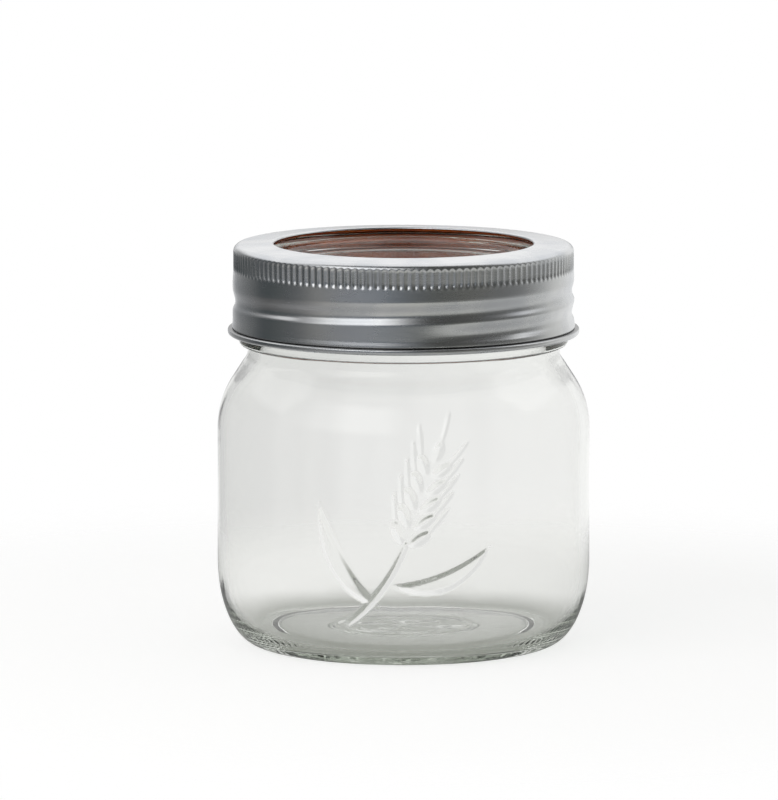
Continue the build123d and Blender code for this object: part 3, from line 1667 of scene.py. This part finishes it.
@dataclass(frozen=True)
class Floor:
    """The round pale floor, which keeps the jar's shadow and shows white to the camera.

    Rays that come through the glass see it glow brightly, dimmed under the jar by a painted shadow. To
    polished and matt surfaces it is plain grey. It fades out towards its edge.
    """

    level: float = -0.05
    radii: tuple[float, ...] = (40.0, 120.0, 260.0)
    columns: int = 128
    fade: float = 120.0
    colour: Shade = 0.5
    to_camera: Shade = (0.64, 0.64, 0.635)
    # painted shadow: the dim glow that rays through the glass see under the jar
    painted_shadow_under_jar: Shade = (0.03, 0.035, 0.01)
    beyond_jar: Shade = (0.58, 0.58, 0.57)
    jar_reach: Pair = (30.0, 78.0)

    def _finish(self) -> bpy.types.Material:
        """Builds the floor's material.

        Returns:
            The material.
        """
        wiring = Wiring(bpy.data.materials.new("pale_floor"))
        path = wiring.add("ShaderNodeLightPath")
        radius = wiring.round_place()[1]
        near, far = self.jar_reach
        # painted shadow: the glow for rays through the glass is dimmed near the jar
        glow = wiring.colour_mix(radius.step(near * MM, far * MM), self.painted_shadow_under_jar, self.beyond_jar)
        glow = wiring.colour_mix(path["Is Transmission Ray"], 0.0, glow)
        glow = wiring.colour_mix(path["Is Camera Ray"], glow, self.to_camera)
        matt = wiring.add("ShaderNodeBsdfDiffuse", {"Color": self.colour})
        glow = wiring.add("ShaderNodeEmission", {"Color": glow, "Strength": 1.0})
        surface = wiring.add("ShaderNodeAddShader", {0: matt, 1: glow})
        edge = self.radii[-1]
        faded = radius.step((edge - self.fade) * MM, edge * MM)
        clear = wiring.add("ShaderNodeBsdfTransparent", {"Color": 1.0})
        return wiring.finish(wiring.shader_mix(faded, surface, clear))

    def build(self) -> None:
        """Makes the floor."""
        skin = Skin()
        skin.add_pole(self.level)
        rows = np.array([(radius, self.level) for radius in self.radii])
        skin.add(turned(rows, even_columns(self.columns)))
        skin.build("floor", [self._finish()], turn_over=True)


@dataclass(frozen=True)
class Softbox:
    """The softbox in front of the jar, to the left and above, aimed at the point at the height aim."""

    turn: float = -43.0
    elevation: float = 37.0
    distance: float = 1300.0
    aim: float = 80.0
    size: Pair = (1250.0, 800.0)
    power: float = 6.0

    def build(self) -> None:
        """Hangs the softbox, and hides it from the camera, from polished surfaces and behind glass."""
        data = bpy.data.lights.new("softbox", "AREA")
        data.shape = "RECTANGLE"
        data.size, data.size_y = self.size[0] * MM, self.size[1] * MM
        data.energy = self.power
        lamp = bpy.data.objects.new("softbox", data)
        turn, rise = math.radians(self.turn), math.radians(self.elevation)
        reach = self.distance * MM
        lamp.location = (
            reach * math.cos(rise) * math.sin(turn),
            -reach * math.cos(rise) * math.cos(turn),
            reach * math.sin(rise) + self.aim * MM,
        )
        lamp.rotation_euler = (math.radians(90.0) - rise, 0.0, turn)
        lamp.visible_camera = False
        lamp.visible_glossy = False
        lamp.visible_transmission = False
        bpy.context.scene.collection.objects.link(lamp)


# What polished surfaces see round the room at three levels, in degrees from the camera's side
WHITE = 1.05
BELT: Ramp = (
    (-180.0, WHITE),
    (-166.0, 0.95),
    (-157.0, 0.38),
    (-140.0, (0.23, 0.235, 0.235)),
    (-122.0, (0.13, 0.135, 0.135)),
    (-110.0, (0.045, 0.055, 0.06)),
    (-92.0, (0.075, 0.085, 0.085)),
    (-74.0, (0.11, 0.115, 0.12)),
    (-60.0, (0.22, 0.22, 0.21)),
    (-40.0, (0.19, 0.20, 0.22)),
    (-12.0, (0.135, 0.155, 0.18)),
    (4.0, (0.10, 0.11, 0.12)),
    (20.0, (0.07, 0.075, 0.07)),
    (40.0, (0.10, 0.10, 0.09)),
    (84.0, (0.165, 0.165, 0.16)),
    (98.0, (0.32, 0.32, 0.31)),
    (115.0, (0.60, 0.60, 0.58)),
    (132.0, (0.72, 0.72, 0.70)),
    (150.0, (0.92, 0.92, 0.91)),
    (180.0, WHITE),
)
LOWER: Ramp = (
    (-180.0, WHITE),
    (-150.0, 0.35),
    (-112.0, 0.09),
    (-76.0, 0.16),
    (-48.0, (0.44, 0.43, 0.41)),
    (-24.0, (0.64, 0.63, 0.60)),
    (10.0, (0.53, 0.53, 0.49)),
    (80.0, (0.56, 0.56, 0.54)),
    (112.0, (0.66, 0.66, 0.64)),
    (150.0, (0.88, 0.88, 0.87)),
    (180.0, WHITE),
)
UPPER: Ramp = (
    (-180.0, WHITE),
    (-130.0, 0.40),
    (-108.0, (0.07, 0.07, 0.075)),
    (0.0, (0.10, 0.105, 0.11)),
    (20.0, (0.05, 0.05, 0.045)),
    (88.0, (0.12, 0.12, 0.115)),
    (110.0, (0.48, 0.48, 0.46)),
    (150.0, (0.80, 0.80, 0.79)),
    (180.0, WHITE),
)


@dataclass(frozen=True)
class Room:
    """The world: white to the camera, an even grey for matt surfaces, a pale backdrop through glass.

    Polished surfaces see a dark room in front with a bright window, a paler right side, a white canopy
    behind and above, and a dark strip on the horizon behind. Each pair of numbers says between which
    places along x, y or z of the direction, or between which turns, one shade gives way to the next.
    """

    matt: Shade = 0.5
    belt_bottom: Pair = (-0.15, -0.28)
    belt_top: Pair = (0.17, 0.36)
    canopy_lean: float = 0.12
    canopy_front: Pair = (-0.08, 0.06)
    canopy_bottom: Pair = (0.3, 0.45)
    window: Shade = (1.6, 1.6, 1.59)
    window_left: Pair = (-92.0, -32.0)
    window_right: Pair = (12.0, -26.0)
    window_bottom: Pair = (0.16, 0.34)
    window_top: Pair = (0.80, 0.66)
    horizon: Shade = 0.16
    horizon_side: Pair = (0.06, 0.02)
    horizon_front: Pair = (0.5, 0.8)
    horizon_bottom: Pair = (-0.10, -0.03)
    horizon_top: Pair = (0.10, 0.03)
    glass_left: Shade = 0.79
    glass_right: Shade = 0.94
    glass_middle: Pair = (-0.07, 0.05)
    glass_above: Shade = 0.74
    glass_rise: Pair = (0.35, 0.7)

    def _reflected(self, wiring: Wiring, x: Signal, y: Signal, z: Signal) -> Signal:
        """What polished surfaces see.

        Args:
            wiring: the world's wiring.
            x: the direction's part to the right.
            y: its part away from the camera.
            z: its part upwards.

        Returns:
            The colour.
        """
        turn = x.maths("ARCTAN2", 0.0 - y) * (0.5 / math.pi) + 0.5
        rings = []
        for ring in (LOWER, BELT, UPPER):
            stops = tuple((self._place(degrees), shade) for degrees, shade in ring)
            rings.append(wiring.add("ShaderNodeValToRGB", {0: turn}, stops=stops))
        lower, belt, upper = rings
        room = wiring.colour_mix(z.step(*self.belt_bottom), belt, lower)
        room = wiring.colour_mix(z.step(*self.belt_top), room, upper)
        canopy = (y + z * self.canopy_lean).step(*self.canopy_front) * z.step(*self.canopy_bottom)
        room = wiring.colour_mix(canopy, room, WHITE)
        window = z.step(*self.window_bottom) * z.step(*self.window_top)
        for side in (self.window_left, self.window_right):
            window = window * turn.step(*map(self._place, side))
        room = wiring.colour_mix(window, room, self.window)
        strip = (x * x).step(*self.horizon_side) * y.step(*self.horizon_front)
        strip = strip * z.step(*self.horizon_bottom) * z.step(*self.horizon_top)
        return wiring.colour_mix(strip, room, self.horizon)

    @staticmethod
    def _place(turn: float) -> float:
        """Turns degrees from the camera's side into a place on a ramp."""
        return turn / TURN + 0.5

    def build(self) -> None:
        """Makes the world."""
        world = bpy.data.worlds.new("studio")
        bpy.context.scene.world = world
        wiring = Wiring(world)
        direction = wiring.add("ShaderNodeTexCoord", output="Generated")
        split = wiring.add("ShaderNodeSeparateXYZ", {0: direction})
        x, y, z = split[0], split[1], split[2]
        side = wiring.colour_mix(x.step(*self.glass_middle), self.glass_left, self.glass_right)
        through = wiring.colour_mix(z.step(*self.glass_rise), side, self.glass_above)
        path = wiring.add("ShaderNodeLightPath")
        shade = wiring.colour_mix(path["Is Glossy Ray"], self.matt, self._reflected(wiring, x, y, z))
        shade = wiring.colour_mix(path["Is Transmission Ray"], shade, through)
        shade = wiring.colour_mix(path["Is Camera Ray"], shade, 1.0)
        background = wiring.add("ShaderNodeBackground", {"Color": shade, "Strength": 1.0})
        wiring.add("ShaderNodeOutputWorld", {"Surface": background})


def place(piece: bpy.types.Object, body: Body, slot: Slot, node: str) -> None:
    """Puts a finished piece on its body in place of a CAD node.

    Args:
        piece: the piece.
        body: the body it rides on.
        slot: the record's material slot; not used.
        node: the CAD node it stands for.
    """
    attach(piece, body.value)
    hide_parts(node)
    LOG.info("%s: %d faces, on %s", piece.name, len(piece.data.polygons), body.value)


def main() -> None:
    """Loads the frame, builds and dresses the four pieces, and sets the studio."""
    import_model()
    scene = bpy.context.scene
    scene.view_settings.view_transform = "Standard"
    scene.cycles.max_bounces = LIGHT_BOUNCES
    scene.cycles.transmission_bounces = LIGHT_BOUNCES
    scene.cycles.glossy_bounces = LIGHT_BOUNCES

    threads = ThreadPair()
    jar_glass = ClearGlass("clear_glass", stipples=116).make()
    jar = GlassJar(NodeBox.of("glass_jar"), threads.on_glass()).build(jar_glass)
    place(jar, Body.JAR, Slot.GLASS, "glass_jar")

    ring_box = NodeBox.of("sealing_ring")
    lid_glass = ClearGlass("lid_glass", ripple_depth=0.06).make()
    lid = GlassLid(NodeBox.of("lid_insert"), ring_box.top).build(lid_glass)
    place(lid, Body.LID, Slot.GLASS, "lid_insert")

    ring = SealingRing(ring_box).build(RingRubber().make())
    place(ring, Body.LID, Slot.RUBBER, "sealing_ring")

    tinplate, lacquer = BrightTinplate().make(), GoldLacquer().make()
    band = ScrewBand(NodeBox.of("screw_band"), threads.groove).build(tinplate, lacquer)
    place(band, Body.BAND, Slot.TINPLATE, "screw_band")

    for part in (Room(), Floor(), Softbox(), Viewpoint()):
        part.build()
        LOG.info("studio: %s", type(part).__name__)


if __name__ == "__main__":
    logging.basicConfig(level=logging.INFO, format="%(name)s: %(message)s")
    main()
